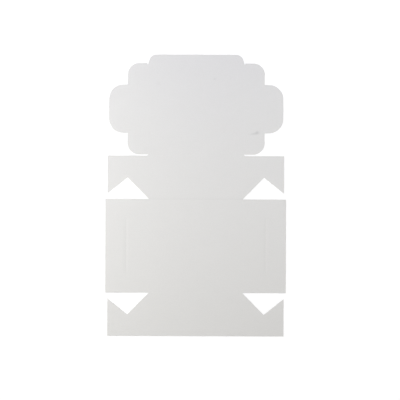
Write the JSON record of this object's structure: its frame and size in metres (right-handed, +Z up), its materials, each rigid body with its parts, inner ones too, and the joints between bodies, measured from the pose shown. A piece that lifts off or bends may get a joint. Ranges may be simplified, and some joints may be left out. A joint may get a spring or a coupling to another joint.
{
  "type": "cake box",
  "caption": "Flat die-cut blank of a square takeaway cake box in plain white board, with creased walls, notched corner ears, a hinged lid, side tongues and a front lip.",
  "frame": {"origin": "middle of the base panel's underside", "axes": "+Z up from the outer face to the inner face of the flat board, +Y from the base to the lid, +X to the right of the blank"},
  "size_m": [0.4278, 0.6671, 0.0008],
  "materials": {
    "white_board": "smooth matt white clay-coated board",
    "pressed_crease": "board pressed to a bead, matt"
  },
  "bodies": {
    "base": {"base_panel": "white_board", "left_wall_crease": "pressed_crease", "right_wall_crease": "pressed_crease", "front_wall_crease": "pressed_crease", "back_wall_crease": "pressed_crease"},
    "left_wall": {"left_wall": "white_board"},
    "right_wall": {"right_wall": "white_board"},
    "front_wall": {"front_wall": "white_board", "front_left_ear_crease": "pressed_crease", "front_right_ear_crease": "pressed_crease"},
    "front_left_ear": {"front_left_ear": "white_board"},
    "front_right_ear": {"front_right_ear": "white_board"},
    "back_wall": {"back_wall": "white_board", "back_left_ear_crease": "pressed_crease", "back_right_ear_crease": "pressed_crease", "lid_panel_crease": "pressed_crease"},
    "back_left_ear": {"back_left_ear": "white_board"},
    "back_right_ear": {"back_right_ear": "white_board"},
    "lid": {"lid_panel": "white_board", "lid_left_flap_crease": "pressed_crease", "lid_right_flap_crease": "pressed_crease", "lid_front_lip_crease": "pressed_crease"},
    "lid_left_flap": {"lid_left_flap": "white_board"},
    "lid_right_flap": {"lid_right_flap": "white_board"},
    "lid_front_lip": {"lid_front_lip": "white_board"}
  },
  "joints": [
    {"name": "left_wall_fold", "type": "hinge", "parent": "base", "child": "left_wall", "pos_m": [-0.1143, 0, 0.0006], "axis": [0, 1, 0], "range_deg": [0, 90]},
    {"name": "right_wall_fold", "type": "hinge", "parent": "base", "child": "right_wall", "pos_m": [0.1143, 0, 0.0006], "axis": [0, -1, 0], "range_deg": [0, 90]},
    {"name": "front_wall_fold", "type": "hinge", "parent": "base", "child": "front_wall", "pos_m": [0, -0.1115, 0.0006], "axis": [-1, 0, 0], "range_deg": [0, 90]},
    {"name": "front_left_ear_fold", "type": "hinge", "parent": "front_wall", "child": "front_left_ear", "pos_m": [-0.1152, -0.1627, 0.0006], "axis": [0, 1, 0], "range_deg": [0, 90]},
    {"name": "front_right_ear_fold", "type": "hinge", "parent": "front_wall", "child": "front_right_ear", "pos_m": [0.1152, -0.1627, 0.0006], "axis": [0, -1, 0], "range_deg": [0, 90]},
    {"name": "back_wall_fold", "type": "hinge", "parent": "base", "child": "back_wall", "pos_m": [0, 0.1115, 0.0006], "axis": [1, 0, 0], "range_deg": [0, 90]},
    {"name": "back_left_ear_fold", "type": "hinge", "parent": "back_wall", "child": "back_left_ear", "pos_m": [-0.1152, 0.1627, 0.0006], "axis": [0, 1, 0], "range_deg": [0, 90]},
    {"name": "back_right_ear_fold", "type": "hinge", "parent": "back_wall", "child": "back_right_ear", "pos_m": [0.1152, 0.1627, 0.0006], "axis": [0, -1, 0], "range_deg": [0, 90]},
    {"name": "lid_fold", "type": "hinge", "parent": "back_wall", "child": "lid", "pos_m": [0, 0.2151, 0.0006], "axis": [1, 0, 0], "range_deg": [0, 90]},
    {"name": "lid_left_flap_fold", "type": "hinge", "parent": "lid", "child": "lid_left_flap", "pos_m": [-0.1161, 0.325, 0.0006], "axis": [0, 1, 0], "range_deg": [0, 90]},
    {"name": "lid_right_flap_fold", "type": "hinge", "parent": "lid", "child": "lid_right_flap", "pos_m": [0.1161, 0.325, 0.0006], "axis": [0, -1, 0], "range_deg": [0, 90]},
    {"name": "lid_front_lip_fold", "type": "hinge", "parent": "lid", "child": "lid_front_lip", "pos_m": [0, 0.433, 0.0006], "axis": [1, 0, 0], "range_deg": [0, 90]}
  ]
}
